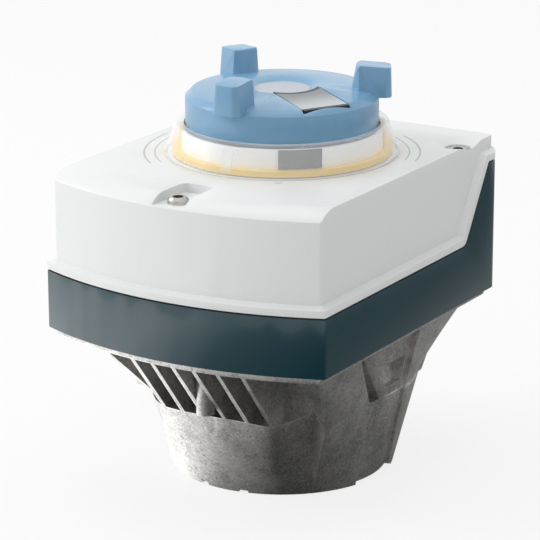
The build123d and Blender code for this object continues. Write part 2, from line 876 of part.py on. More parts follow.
screw_tip = parting_z - screw_tip_below_parting
front_screw_shape = screw(screw_head_radius, screw_head_height, pocket_floor - screw_tip, screw_radius)
rear_screw_shape = screw(rear_head_radius, screw_head_height, screw_recess_floor - screw_tip, screw_radius)

with BuildPart() as cover_screws:
    with Locations((*front_screw, pocket_floor)):
        add(front_screw_shape)
    with Locations(*((x, y, screw_recess_floor) for x, y in rear_posts)):
        add(rear_screw_shape)
save(cover_screws, "cover_screws")

bracket_screw_length = plate_thickness + base_floor + bracket_post_height - 3
with BuildPart() as bracket_screws_piece:
    turned = Rot(180, 0, 0) * screw(
        2 * bracket_screw_radius, screw_head_height, bracket_screw_length, bracket_screw_radius
    )
    with Locations(*((x, y, plate_bottom) for x, y in bracket_screws)):
        add(turned)
save(bracket_screws_piece, "bracket_screws")


# Clear window
with BuildPart() as window_ring:
    foot_z = cover_top - window_foot_depth
    bead_z = cover_top + window_foot_height
    shoulder = window_foot_radius - 0.6
    with BuildSketch(Plane.XZ):
        with BuildLine():
            Polyline(
                (window_foot_radius - window_wall, foot_z),
                (window_foot_radius, foot_z),
                (window_foot_radius, bead_z),
                (shoulder, bead_z + 0.5),
                (window_top_radius, window_top),
                (wheel_radius + wheel_gap, window_top),
                (wheel_radius + wheel_gap, window_top - window_rim),
                (window_top_radius - window_wall, window_top - window_rim),
                (window_foot_radius - window_wall - 0.4, bead_z),
                (window_foot_radius - window_wall, cover_top + 0.1),
                close=True,
            )
        make_face()
    revolve(axis=Axis.Z)
save(window_ring, "window_ring")


# Position drum with its ring gear, which turns on the guide's flange
ring_low, ring_high = ring_gear_z
with BuildPart() as indicator_drum:
    with BuildSketch(Plane.XY.offset(ring_low)):
        add(gear_outline(output_teeth, coarse, ring_phase))
        Circle(guide_flange_radius + running_gap, mode=Mode.SUBTRACT)
    extrude(amount=ring_high - ring_low)
    with BuildSketch(Plane.XY.offset(ring_high)):
        Circle(output_teeth * coarse / 2 - tooth_root * coarse)
        Circle(guide_flange_radius + drum_neck, mode=Mode.SUBTRACT)
    extrude(amount=drum_neck)
    drum_low = ring_high + drum_neck
    with BuildSketch(Plane.XY.offset(drum_low)):
        Circle(drum_radius)
        Circle(guide_flange_radius + drum_neck, mode=Mode.SUBTRACT)
    extrude(amount=drum_floor)
    with BuildSketch(Plane.XY.offset(drum_low)):
        Circle(drum_radius)
        Circle(drum_radius - drum_wall, mode=Mode.SUBTRACT)
    extrude(amount=drum_top - drum_low)
save(indicator_drum, "indicator_drum")

with BuildPart() as indicator_ring:
    with BuildSketch(Plane.XY.offset(yellow_bottom)):
        Circle(yellow_radius)
        Circle(drum_radius, mode=Mode.SUBTRACT)
    extrude(amount=yellow_height)
save(indicator_ring, "indicator_ring")

with BuildPart() as indicator_field:
    field_half = (field_end - field_start) / 2
    with BuildSketch(Plane.XY.offset(field_bottom)):
        with BuildLine():
            CenterArc((0, 0), drum_radius + field_thickness, field_start, 2 * field_half)
            CenterArc((0, 0), drum_radius, field_start, 2 * field_half)
            for angle in (field_start, field_end):
                Line(
                    polar(axis_centre, drum_radius, angle),
                    polar(axis_centre, drum_radius + field_thickness, angle),
                )
        make_face()
    extrude(amount=drum_top - field_bottom)
save(indicator_field, "indicator_field")


# Hand wheel
def lug_outline(outer, half, inner, corner):
    """Plan of a grip lug: flat flanks, an outer arc about the wheel and a rounded inner end."""
    corner_x = sqrt(outer ** 2 - half ** 2)
    with BuildSketch() as plan:
        with BuildLine():
            Polyline((lug_shoulder, half), (corner_x, half))
            Polyline((lug_shoulder, -half), (corner_x, -half))
            ThreePointArc((corner_x, half), (outer, 0), (corner_x, -half))
            ThreePointArc((lug_shoulder, half), (inner, 0), (lug_shoulder, -half))
        make_face()
        fillet(plan.vertices().group_by(Axis.X)[-1], corner)
    return plan.sketch


strip_fall = (dish_edge_z - wheel_cone_z) / (wheel_cone_radius - dish_edge_radius)


def strip_z(distance):
    """Level of the name strip's face at a distance from the axis."""
    return dish_edge_z - strip_sink - (distance - dish_edge_radius) * strip_fall


def strip_solid(gap, top, bottom):
    """The strip's solid along +X, grown by a gap and reaching from its face up and down."""
    start = strip_inner - gap
    end = strip_outer + gap
    with BuildPart() as body:
        with BuildSketch(Plane.XZ.offset(-strip_half - gap)):
            with BuildLine():
                Polyline(
                    (0, strip_z(0) + top),
                    (end, strip_z(end) + top),
                    (end, strip_z(end) - bottom),
                    (0, strip_z(0) - bottom),
                    close=True,
                )
            make_face()
        extrude(amount=2 * (strip_half + gap))
        with BuildSketch(Plane.XY):
            Circle(start)
        extrude(amount=2 * cover_top, mode=Mode.SUBTRACT)
    return Rot(0, 0, strip_angle) * body.part


with BuildPart() as grip_lug:
    with BuildSketch(Plane.XY.offset(lug_bottom)):
        add(lug_outline(lug_foot_outer, lug_foot_half, lug_foot_inner, lug_corner))
    with BuildSketch(Plane.XY.offset(lug_bottom + lug_height)):
        add(lug_outline(lug_top_outer, lug_top_half, lug_top_inner, lug_corner))
    loft()
    with BuildSketch(Plane.XZ):
        with BuildLine():
            Polyline(
                (lug_shoulder - 10, lug_inner_top + 0.8),
                (lug_shoulder, lug_inner_top),
                (lug_foot_outer, lug_outer_top),
                (lug_foot_outer + 10, lug_outer_top - 0.8),
                (lug_foot_outer + 10, lug_bottom + 2 * lug_height),
                (lug_shoulder - 10, lug_bottom + 2 * lug_height),
                close=True,
            )
        make_face()
    extrude(amount=2 * lug_foot_half, both=True, mode=Mode.SUBTRACT)
    top_face = grip_lug.faces().sort_by(Axis.Z)[-1]
    fillet(top_face.edges(), lug_edge)

with BuildPart() as hand_wheel:
    with BuildSketch(Plane.XZ):
        with BuildLine():
            Polyline(
                (0, disc_top - disc_thickness),
                (disc_radius + 0.1, disc_top - disc_thickness),
                (disc_radius + 0.1, disc_top),
                (dish_edge_radius, dish_edge_z),
                (wheel_cone_radius, wheel_cone_z),
                (wheel_radius, wheel_chamfer_z),
                (wheel_radius, wheel_bottom),
                (wheel_radius - wheel_skirt, wheel_bottom),
                (wheel_radius - wheel_skirt, wheel_ceiling),
                (0, wheel_ceiling),
                close=True,
            )
        make_face()
    revolve(axis=Axis.Z)
    for angle in lug_angles:
        add(Rot(0, 0, angle) * grip_lug.part)
    add(strip_solid(strip_gap, 3, strip_thickness), mode=Mode.SUBTRACT)
save(hand_wheel, "hand_wheel")

with BuildPart() as hand_wheel_disc:
    with BuildSketch(Plane.XY.offset(disc_top - disc_thickness)):
        Circle(disc_radius)
    extrude(amount=disc_thickness)
save(hand_wheel_disc, "hand_wheel_disc")

with BuildPart() as hand_wheel_plate:
    add(strip_solid(0, 0, strip_thickness))
save(hand_wheel_plate, "hand_wheel_plate")

hand_low, hand_high = hand_pinion_z
collar_top = wheel_ceiling - 3.0
with BuildPart() as hand_wheel_shaft:
    with BuildSketch(Plane.XY.offset(hand_low)):
        add(gear_outline(hand_teeth, fine, hand_phase))
    extrude(amount=hand_high - hand_low)
    with BuildSketch(Plane.XY.offset(hand_high)):
        Circle(stem_radius - 1)
    extrude(amount=push_travel + 1)
    with BuildSketch(Plane.XY.offset(hand_high + push_travel + 1)):
        Circle(stem_radius)
    extrude(amount=collar_top - hand_high - push_travel - 1)
    with BuildSketch(Plane.XY.offset(collar_top)):
        Circle(wheel_hub_radius)
    extrude(amount=wheel_ceiling - collar_top)
save(hand_wheel_shaft, "hand_wheel_shaft")

collar_bottom = collar_top - collar_height
with BuildPart() as thrust_collar:
    with BuildSketch(Plane.XY.offset(collar_bottom)):
        Circle(collar_radius)
        Circle(stem_radius + running_gap, mode=Mode.SUBTRACT)
    extrude(amount=collar_height)
save(thrust_collar, "thrust_collar")

guide_low, guide_high = guide_flange_z
with BuildPart() as return_spring:
    coil_low = guide_high + spring_wire / 2
    coil_height = collar_bottom - guide_high - spring_wire
    with BuildLine():
        Helix(
            pitch=coil_height / spring_turns,
            height=coil_height,
            radius=spring_radius,
            center=(0, 0, coil_low),
        )
    with BuildSketch(Plane(origin=(spring_radius, 0, coil_low), z_dir=(0, 1, 0))):
        RegularPolygon(spring_wire / 2, 8)
    sweep(is_frenet=True)
save(return_spring, "return_spring")


# Stem guide, which also carries the position drum
guide_base = upper_plate_z + gear_plate_thickness
with BuildPart() as stem_guide:
    with BuildSketch(Plane.XZ):
        with BuildLine():
            Polyline(
                (stem_radius + running_gap, guide_base),
                (guide_foot_radius, guide_base),
                (guide_foot_radius, guide_base + guide_foot_height),
                (guide_outer, guide_base + guide_foot_height),
                (guide_outer, guide_low - guide_shoulder_height),
                (guide_shoulder_radius, guide_low - guide_shoulder_height),
                (guide_shoulder_radius, guide_low),
                (guide_flange_radius, guide_low),
                (guide_flange_radius, guide_high),
                (guide_flange_radius - 3, guide_high),
                (guide_flange_radius - 3, guide_low + 1.6),
                (guide_outer + 4, guide_low + 1.6),
                (guide_outer + 4, guide_high),
                (guide_outer, guide_high),
                (guide_outer, guide_top),
                (stem_radius + running_gap, guide_top),
                close=True,
            )
        make_face()
    revolve(axis=Axis.Z)
save(stem_guide, "stem_guide")


# Gear plates and their pillars
def gear_plate(front, level):
    """Rounded plate that reaches from a front line to the rear line of both plates."""
    with BuildPart() as body:
        with BuildSketch(Plane.XY.offset(level)):
            with Locations((0, (front + plate_rear) / 2)):
                RectangleRounded(2 * plate_half, plate_rear - front, pillar_radius + 1)
        extrude(amount=gear_plate_thickness)
    return body.part


axles = ((stage_a, stage_a_axle), (stage_b, stage_b_axle))
with BuildPart() as lower_gear_plate:
    add(gear_plate(lower_plate_front, lower_plate_z))
    with BuildSketch(Plane.XY.offset(lower_plate_z)):
        Circle(shaft_shoulder_radius + 2)
        for centre, radius in axles:
            with Locations(centre):
                Circle(radius + running_gap)
    extrude(amount=gear_plate_thickness, mode=Mode.SUBTRACT)
save(lower_gear_plate, "lower_gear_plate")

with BuildPart() as upper_gear_plate:
    add(gear_plate(upper_plate_front, upper_plate_z))
    with BuildSketch(Plane.XY.offset(upper_plate_z)):
        Circle(fine * hand_teeth / 2 + 3)
        for centre, radius in axles + ((motor_centre, motor_axle + 1),):
            with Locations(centre):
                Circle(radius + running_gap)
    extrude(amount=gear_plate_thickness, mode=Mode.SUBTRACT)
save(upper_gear_plate, "upper_gear_plate")

with BuildPart() as plate_pillars:
    with BuildSketch(Plane.XY.offset(lower_plate_z + gear_plate_thickness)):
        with Locations(*pillars):
            Circle(pillar_radius)
    extrude(amount=upper_plate_z - lower_plate_z - gear_plate_thickness)
save(plate_pillars, "plate_pillars")

with BuildPart() as plate_screws:
    with Locations(*((x, y, guide_base) for x, y in pillars)):
        add(screw(pillar_radius, screw_head_height, gear_plate_thickness, screw_radius))
    with BuildSketch(Plane.XY):
        with Locations(*pillars):
            Circle(pillar_radius)
    extrude(amount=guide_base, mode=Mode.SUBTRACT)
save(plate_screws, "plate_screws")


# Output shaft and its gear
gear_low, gear_high = output_gear_z
with BuildPart() as output_shaft:
    shoulder_low = upper_bush[1] + 0.2
    ring_groove_top = snap_ring_z + snap_ring_height
    with BuildSketch(Plane.XZ):
        with BuildLine():
            Polyline(
                (0, shaft_bottom),
                (shaft_radius, shaft_bottom),
                (shaft_radius, snap_ring_z),
                (shaft_radius - snap_ring_depth, snap_ring_z),
                (shaft_radius - snap_ring_depth, ring_groove_top),
                (shaft_radius, ring_groove_top),
                (shaft_radius, shoulder_low),
                (shaft_shoulder_radius, shoulder_low),
                (shaft_shoulder_radius, gear_low),
                (shaft_upper_radius, gear_low),
                (shaft_upper_radius, gear_high),
                (0, gear_high),
                close=True,
            )
        make_face()
    revolve(axis=Axis.Z)
    with BuildSketch(Plane.XY.offset(shaft_bottom)):
        Circle(insert_radius)
        Rectangle(2 * insert_radius, 2 * insert_flat, mode=Mode.INTERSECT)
    extrude(amount=socket_depth, mode=Mode.SUBTRACT)
save(output_shaft, "output_shaft")

with BuildPart() as coupling_insert:
    with BuildSketch(Plane.XY.offset(shaft_bottom)):
        Circle(insert_radius)
        Rectangle(2 * insert_radius, 2 * insert_flat, mode=Mode.INTERSECT)
        Rectangle(socket_width, socket_width, mode=Mode.SUBTRACT)
    extrude(amount=socket_depth - 2)
save(coupling_insert, "coupling_insert")

with BuildPart() as retaining_ring:
    with BuildSketch(Plane.XY.offset(snap_ring_z)):
        Circle(shaft_radius - snap_ring_depth + snap_ring_width)
        Circle(shaft_radius - snap_ring_depth, mode=Mode.SUBTRACT)
        with Locations((0, shaft_radius)):
            Rectangle(snap_ring_gap, 2 * snap_ring_width, mode=Mode.SUBTRACT)
    extrude(amount=snap_ring_height)
save(retaining_ring, "retaining_ring")

with BuildPart() as output_gear:
    with BuildSketch(Plane.XY.offset(gear_low)):
        add(gear_outline(output_teeth, coarse, output_phase))
        Circle(shaft_upper_radius, mode=Mode.SUBTRACT)
    extrude(amount=gear_high - gear_low)
    with BuildSketch(Plane.XY.offset(gear_low + web_thickness)):
        with PolarLocations(web_circle_radius, web_count):
            Circle(web_hollow_radius)
    extrude(amount=gear_high, mode=Mode.SUBTRACT)
save(output_gear, "output_gear")

for name, (low, high) in (("lower_bush", lower_bush), ("upper_bush", upper_bush)):
    with BuildPart() as bush:
        with BuildSketch(Plane.XY.offset(low)):
            Circle(shaft_radius + bush_wall)
            Circle(shaft_radius + running_gap, mode=Mode.SUBTRACT)
        extrude(amount=high - low)
    save(bush, name)


# Reduction stages
def stacked_gear(name, centre, layers, axle, axle_low, axle_high):
    """Gears of different size on one axle; each layer is teeth, module, phase and levels."""
    with BuildPart(Plane((centre[0], centre[1], 0))) as body:
        with BuildSketch(Plane((centre[0], centre[1], axle_low))):
            Circle(axle)
        extrude(amount=axle_high - axle_low)
        for teeth, module, phase, (low, high) in layers:
            with BuildSketch(Plane((centre[0], centre[1], low))):
                add(gear_outline(teeth, module, phase))
            extrude(amount=high - low)
    save(body, name)


first_low = first_wheel_z[0]
second_low, second_high = second_wheel_z
stacked_gear(
    "stage_a_gear",
    stage_a,
    (
        (pinion_teeth, coarse, a_phase, (gear_low, first_low)),
        (stage_a_teeth, fine, a_phase, first_wheel_z),
        (pinion_teeth, coarse, a_phase, ring_gear_z),
    ),
    stage_a_axle,
    lower_plate_z,
    ring_high + 0.5,
)
stacked_gear(
    "stage_b_gear",
    stage_b,
    (
        (pinion_teeth, fine, b_phase, (first_low, second_low)),
        (stage_b_teeth, fine, b_phase, second_wheel_z),
    ),
    stage_b_axle,
    lower_plate_z,
    guide_base,
)
stacked_gear(
    "motor_rotor",
    motor_centre,
    ((motor_teeth, fine, motor_phase, second_wheel_z),),
    motor_axle,
    second_low - 0.5,
    guide_base + motor_can_height - 3,
)

with BuildPart() as idler_gear:
    with BuildSketch(Plane((idler[0], idler[1], second_low))):
        add(gear_outline(idler_teeth, fine, idler_phase))
        Circle(idler_axle_radius + running_gap, mode=Mode.SUBTRACT)
    extrude(amount=second_high - second_low)
save(idler_gear, "idler_gear")

with BuildPart() as idler_axle:
    with BuildSketch(Plane((idler[0], idler[1], second_low - 1.2))):
        Circle(idler_axle_radius + 1.5)
    extrude(amount=1)
    with BuildSketch(Plane((idler[0], idler[1], second_low - 1.2))):
        Circle(idler_axle_radius)
    extrude(amount=upper_plate_z - second_low + 1.2)
save(idler_axle, "idler_axle")

with BuildPart() as motor_housing:
    with BuildSketch(Plane((*motor_centre, guide_base))):
        Circle(motor_can_radius)
    extrude(amount=motor_can_height)
    fillet(motor_housing.edges().sort_by(Axis.Z)[-1], 1.5)
    with BuildSketch(Plane((*motor_centre, guide_base))):
        Circle(motor_axle + running_gap)
    extrude(amount=motor_can_height - 2, mode=Mode.SUBTRACT)
save(motor_housing, "motor_housing")


# Circuit board and what stands on it
board_top = board_bottom + board_thickness
short_standoffs = ((-38.0, 24.0), (38.0, 24.0))
tall_standoffs = ((-36.0, 52.0), (36.0, 52.0))
with BuildPart() as board_standoffs:
    with BuildSketch(Plane.XY.offset(guide_base)):
        with Locations(*short_standoffs):
            Circle(standoff_radius)
    extrude(amount=board_bottom - guide_base)
    with BuildSketch(Plane.XY.offset(lower_plate_z)):
        with Locations(*tall_standoffs):
            Circle(standoff_radius)
    extrude(amount=board_bottom - lower_plate_z)
save(board_standoffs, "board_standoffs")

with BuildPart() as circuit_board:
    with BuildSketch(Plane.XY.offset(board_bottom)):
        with Locations((0, (board_front + board_rear) / 2)):
            RectangleRounded(2 * board_half, board_rear - board_front, board_corner)
    extrude(amount=board_thickness)
save(circuit_board, "circuit_board")

with BuildPart() as terminal_block:
    block_y = board_rear - terminal_depth / 2 - terminal_setback
    with BuildSketch(Plane.XY.offset(board_top)):
        with Locations((0, block_y)):
            Rectangle(terminal_count * terminal_pitch, terminal_depth)
    extrude(amount=terminal_height)
    with BuildSketch(Plane.XZ.offset(-board_rear)):
        with Locations((0, board_top + terminal_mouth)):
            with GridLocations(terminal_pitch, 1, terminal_count, 1):
                Rectangle(terminal_mouth, terminal_mouth)
    extrude(amount=terminal_depth / 2, mode=Mode.SUBTRACT)
save(terminal_block, "terminal_block")

with BuildPart() as relays:
    with BuildSketch(Plane.XY.offset(board_top)):
        with Locations(*relay_places):
            Rectangle(relay_width, relay_length)
    extrude(amount=relay_height)
save(relays, "relays")

with BuildPart() as capacitor:
    with BuildSketch(Plane.XY.offset(board_top)):
        with Locations(capacitor_place):
            Circle(capacitor_radius)
    extrude(amount=below_drum_z - board_top)
save(capacitor, "capacitor")

for name, (place, radius) in zip(("left_plug", "middle_plug", "right_plug"), entries):
    with BuildPart() as plug:
        with BuildSketch(Plane.XZ.offset(-rear_y)):
            with Locations((place, entry_z)):
                Circle(radius)
        extrude(amount=base_wall)
        with BuildSketch(Plane.XZ.offset(-rear_y)):
            with Locations((place, entry_z)):
                RegularPolygon(radius + plug_overhang, 6)
        extrude(amount=-plug_head)
    save(plug, name)
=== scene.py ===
"""Looks of a rotary valve actuator, built over its packed construction model.

Lengths are in metres, +Z up, with the bowed front of the housing towards -Y.
"""

import json
import logging
from dataclasses import dataclass, field
from enum import Enum
from math import cos, pi, radians, sin
from typing import Sequence

import bmesh
import bpy
from mathutils import Matrix, Vector


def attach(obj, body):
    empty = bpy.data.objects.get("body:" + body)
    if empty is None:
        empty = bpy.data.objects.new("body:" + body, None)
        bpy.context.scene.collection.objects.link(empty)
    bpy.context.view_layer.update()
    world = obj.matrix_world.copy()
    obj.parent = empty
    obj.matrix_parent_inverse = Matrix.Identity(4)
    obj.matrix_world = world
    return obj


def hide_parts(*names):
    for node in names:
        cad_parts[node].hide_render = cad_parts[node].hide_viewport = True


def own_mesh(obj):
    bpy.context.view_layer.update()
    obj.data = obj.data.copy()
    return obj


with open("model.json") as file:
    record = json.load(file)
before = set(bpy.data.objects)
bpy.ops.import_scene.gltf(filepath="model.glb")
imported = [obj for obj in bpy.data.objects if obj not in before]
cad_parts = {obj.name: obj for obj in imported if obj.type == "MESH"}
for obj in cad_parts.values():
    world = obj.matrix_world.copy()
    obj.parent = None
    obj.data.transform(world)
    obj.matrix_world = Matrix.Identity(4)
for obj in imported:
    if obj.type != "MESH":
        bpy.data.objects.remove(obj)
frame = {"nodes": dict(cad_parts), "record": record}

log = logging.getLogger("actuator")
MM = 0.001
Colour = tuple[float, float, float]
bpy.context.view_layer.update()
WELD_GAP = 0.002 * MM
FLAT_ANGLE = 0.6
SHARP_ANGLE = 32.0


def srgb(red: float, green: float, blue: float) -> Colour:
    """Turn a colour read off a screen, 0 to 255, into the linear values shaders use.

    Args:
        red: Red as displayed.
        green: Green as displayed.
        blue: Blue as displayed.

    Returns:
        The colour in linear light.
    """

    def linear(value: float) -> float:
        """One channel in linear light."""
        share = value / 255
        return share / 12.92 if share <= 0.04045 else ((share + 0.055) / 1.055) ** 2.4

    return (linear(red), linear(green), linear(blue))


class Value:
    """A number that varies over a surface: a node socket that takes Python's operators."""

    def __init__(self, tree: "Tree", socket: bpy.types.NodeSocket) -> None:
        """Wrap a socket of a tree."""
        self.tree = tree
        self.socket = socket

    def _math(self, operation: str, first: object, second: object) -> "Value":
        """Add a Math node.

        Args:
            operation: The Math node's operation.
            first: Its first input, a number or a Value.
            second: Its second input, a number or a Value.

        Returns:
            The node's result.
        """
        made = self.tree.node("ShaderNodeMath", {"operation": operation}, {0: first, 1: second})
        return Value(self.tree, made.outputs[0])

    def __add__(self, other: object) -> "Value":
        """Sum."""
        return self._math("ADD", self, other)

    __radd__ = __add__

    def __sub__(self, other: object) -> "Value":
        """Difference."""
        return self._math("SUBTRACT", self, other)

    def __rsub__(self, other: object) -> "Value":
        """Difference from a number."""
        return self._math("SUBTRACT", other, self)

    def __mul__(self, other: object) -> "Value":
        """Product."""
        return self._math("MULTIPLY", self, other)

    __rmul__ = __mul__

    def __truediv__(self, other: object) -> "Value":
        """Quotient."""
        return self._math("DIVIDE", self, other)

    def __pow__(self, other: object) -> "Value":
        """Power."""
        return self._math("POWER", self, other)

    def __abs__(self) -> "Value":
        """Size without sign."""
        return self._math("ABSOLUTE", self, 0.0)

    def above(self, level: float) -> "Value":
        """1 where the value is over a level, else 0."""
        return self._math("GREATER_THAN", self, level)

    def least(self, other: object) -> "Value":
        """The smaller of two."""
        return self._math("MINIMUM", self, other)

    def most(self, other: object) -> "Value":
        """The larger of two."""
        return self._math("MAXIMUM", self, other)

    def ramp(self, low: float, high: float) -> "Value":
        """Go smoothly from 0 at low to 1 at high.

        Args:
            low: Where the result is 0.
            high: Where the result is 1; it may be the lower number.

        Returns:
            The eased share.
        """
        made = self.tree.node(
            "ShaderNodeMapRange",
            {"interpolation_type": "SMOOTHSTEP"},
            {"Value": self, "From Min": low, "From Max": high},
        )
        return Value(self.tree, made.outputs[0])


class Tree:
    """The node tree of one material."""

    def __init__(self, name: str) -> None:
        """Start an empty tree.

        Args:
            name: The material's name.
        """
        self.material = bpy.data.materials.new(name)
        self.material.use_nodes = True
        self.nodes = self.material.node_tree.nodes
        self.links = self.material.node_tree.links
        self.nodes.clear()
        self.output = self.node("ShaderNodeOutputMaterial")
        self._place: bpy.types.NodeSocket | None = None

    def node(
        self, kind: str, settings: dict[str, object] | None = None, inputs: dict | None = None
    ) -> bpy.types.Node:
        """Make any node.

        Args:
            kind: The node's type.
            settings: Properties, set before the sockets; "stops" fills a colour ramp.
            inputs: Values or links, by socket name or number.

        Returns:
            The node.
        """
        made = self.nodes.new(kind)
        for key, value in (settings or {}).items():
            if key == "stops":
                for place, (position, colour) in enumerate(value):
                    elements = made.color_ramp.elements
                    stop = elements[place] if place < 2 else elements.new(position)
                    stop.position = position
                    stop.color = (*colour, 1.0)
            else:
                setattr(made, key, value)
        for key, value in (inputs or {}).items():
            if isinstance(value, Value):
                self.links.new(value.socket, made.inputs[key])
            elif isinstance(value, bpy.types.NodeSocket):
                self.links.new(value, made.inputs[key])
            else:
                made.inputs[key].default_value = value
        return made

    @property
    def place(self) -> bpy.types.NodeSocket:
        """Object coordinates, in metres in the part's own frame."""
        if self._place is None:
            self._place = self.node("ShaderNodeTexCoord").outputs["Object"]
        return self._place

    def axes(self) -> tuple[Value, Value, Value]:
        """The three object coordinates as numbers."""
        split = self.node("ShaderNodeSeparateXYZ", inputs={"Vector": self.place})
        return tuple(Value(self, socket) for socket in split.outputs)

    def radius(self, centre: tuple[float, float] = (0.0, 0.0)) -> Value:
        """Distance from an upright axis, in metres.

        Args:
            centre: Where the axis stands, x and y.

        Returns:
            The distance.
        """
        along, across, _ = self.axes()
        along, across = along - centre[0], across - centre[1]
        return (along * along + across * across) ** 0.5

    def sector(self, centre: float, half: float, fade: float = 0.01) -> Value:
        """1 inside a sector about the origin's upright axis, 0 outside.

        Args:
            centre: Direction of the sector's middle, in degrees from +X.
            half: Half its opening, in degrees.
            fade: Width of the soft edge, as a cosine.

        Returns:
            The share.
        """
        along, across, _ = self.axes()
        turn = radians(centre)
        towards = (along * cos(turn) + across * sin(turn)) / self.radius()
        limit = cos(radians(half))
        return towards.ramp(limit - fade / 2, limit + fade / 2)

    def noise(self, size: float, detail: float = 3.0, rough: float = 0.55, **more: float) -> Value:
        """Cloudy noise.

        Args:
            size: Rough size of one patch, in metres.
            detail: Octaves.
            rough: Weight of the fine octaves.
            **more: "distortion", and "stretch", how much longer the patches are along Z.

        Returns:
            The noise, centred on one half.
        """
        vector = self.place
        if "stretch" in more:
            vector = self.node(
                "ShaderNodeVectorMath",
                {"operation": "MULTIPLY"},
                {0: self.place, 1: (1.0, 1.0, 1.0 / more["stretch"])},
            ).outputs[0]
        made = self.node(
            "ShaderNodeTexNoise",
            inputs={
                "Vector": vector,
                "Scale": 1.0 / size,
                "Detail": detail,
                "Roughness": rough,
                "Distortion": more.get("distortion", 0.0),
            },
        )
        return Value(self, made.outputs[0])

    def edges(self, radius: float) -> Value:
        """How far a surface bends within a radius: about 0 on flats and more at edges.

        Args:
            radius: Reach of the test, in metres.

        Returns:
            The bend.
        """
        bevel = self.node("ShaderNodeBevel", {"samples": 4}, {"Radius": radius})
        geometry = self.node("ShaderNodeNewGeometry")
        dot = self.node(
            "ShaderNodeVectorMath",
            {"operation": "DOT_PRODUCT"},
            {0: bevel.outputs[0], 1: geometry.outputs["Normal"]},
        )
        return 1.0 - Value(self, dot.outputs["Value"])

    def mix(self, share: object, first: object, second: object) -> bpy.types.NodeSocket:
        """Blend two colours.

        Args:
            share: 0 for the first, 1 for the second.
            first: A colour or a colour socket.
            second: A colour or a colour socket.

        Returns:
            The blended colour.
        """
        made = self.node("ShaderNodeMix", {"data_type": "RGBA"})
        for key, value in ((0, share), (6, first), (7, second)):
            if isinstance(value, tuple):
                made.inputs[key].default_value = (*value, 1.0)
            elif isinstance(value, Value):
                self.links.new(value.socket, made.inputs[key])
            elif isinstance(value, bpy.types.NodeSocket):
                self.links.new(value, made.inputs[key])
            else:
                made.inputs[key].default_value = value
        return made.outputs[2]

    def bump(self, height: Value, depth: float) -> bpy.types.NodeSocket:
        """Raise and sink the surface.

        Args:
            height: 0 to 1.
            depth: Height of 1, in metres.

        Returns:
            The new normal.
        """
        inputs = {"Strength": 1.0, "Distance": depth, "Height": height}
        return self.node("ShaderNodeBump", inputs=inputs).outputs[0]

    def surface(self, colour: object, roughness: object, **more: object) -> bpy.types.Material:
        """Finish the material with one Principled shader.

        Args:
            colour: Base colour, fixed or varying.
            roughness: Roughness, fixed or varying.
            **more: Other sockets by name, with _ for a space.

        Returns:
            The material.
        """
        inputs = {"Roughness": roughness}
        inputs |= {key.replace("_", " "): value for key, value in more.items()}
        inputs["Base Color"] = (*colour, 1.0) if isinstance(colour, tuple) else colour
        shader = self.node("ShaderNodeBsdfPrincipled", inputs=inputs)
        self.links.new(shader.outputs[0], self.output.inputs["Surface"])
        return self.material


@dataclass(frozen=True)
class Moulding:
    """Injection-moulded plastic: a fine spark-eroded grain, faint cloudiness, and dust."""

    name: str
    colour: Colour
    roughness: float = 0.42
    grain: float = 0.35 * MM
    grain_depth: float = 0.006 * MM
    cloud: float = 0.03
    coat: float = 0.0

    def paint(self, tree: Tree, base: bpy.types.NodeSocket) -> bpy.types.NodeSocket:
        """Add marks of another colour; a plain moulding has none.

        Args:
            tree: The material's tree.
            base: The moulding's own colour.

        Returns:
            The colour with its marks.
        """
        return base

    def make(self) -> bpy.types.Material:
        """Build the material."""
        tree = Tree(self.name)
        clouds = tree.noise(30 * MM, 3)
        grains = tree.noise(self.grain, 2)
        dark = tuple(channel * (1 - 2 * self.cloud) for channel in self.colour)
        bright = tuple(min(1.0, channel * (1 + self.cloud)) for channel in self.colour)
        return tree.surface(
            self.paint(tree, tree.mix(clouds, dark, bright)),
            self.roughness + 0.10 * (clouds - 0.5) + 0.08 * (grains - 0.5),
            Coat_Weight=self.coat,
            Coat_Roughness=0.2,
            Normal=tree.bump(grains, self.grain_depth),
        )


@dataclass(frozen=True)
class ArcLine:
    """A fine line engraved along an arc about the output axis."""

    radius: float
    start: float
    end: float
    width: float = 0.5 * MM

    def mask(self, tree: Tree) -> Value:
        """1 on the line, 0 elsewhere."""
        off = abs(tree.radius() - self.radius)
        line = off.ramp(self.width * 0.7, self.width * 0.3)
        middle = (self.start + self.end) / 2
        return line * tree.sector(middle, abs(self.end - self.start) / 2, 0.002)


@dataclass(frozen=True)
class EngravedMoulding(Moulding):
    """The cover's moulding, with the scale arcs engraved beside the window, drawn as painted shade
    in their grooves.
    """

    lines: tuple[ArcLine, ...] = ()
    # colour of the painted shade in the engraved grooves
    groove_shade: Colour = srgb(176, 179, 180)
    face: float = 126.0 * MM

    def paint(self, tree: Tree, base: bpy.types.NodeSocket) -> bpy.types.NodeSocket:
        """Paint shade into the engraved lines on the top face.

        Args:
            tree: The material's tree.
            base: The cover's own colour.

        Returns:
            The colour with the lines.
        """
        top = tree.axes()[2].above(self.face)
        share: Value = self.lines[0].mask(tree)
        for line in self.lines[1:]:
            share = share.most(line.mask(tree))
        # painted shade where the grooves and the tick are
        return tree.mix(share * top, base, self.groove_shade)


@dataclass(frozen=True)
class RefractedBandMoulding(Moulding):
    """A moulding with painted bands of yellow at some directions about the output axis: painted
    refraction of the yellow ring seen through the ends of the window.
    """

    # directions and half widths, in degrees, of the bands of painted refraction
    marks: tuple[tuple[float, float], ...] = ()
    refracted_yellow: Colour = srgb(240, 196, 40)

    def paint(self, tree: Tree, base: bpy.types.NodeSocket) -> bpy.types.NodeSocket:
        """Paint the bands of refracted yellow.

        Args:
            tree: The material's tree.
            base: The moulding's own colour.

        Returns:
            The colour with the bands.
        """
        for centre, half in self.marks:
            # painted refraction: yellow of the ring as seen through the window's ends
            base = tree.mix(tree.sector(centre, half), base, self.refracted_yellow)
        return base


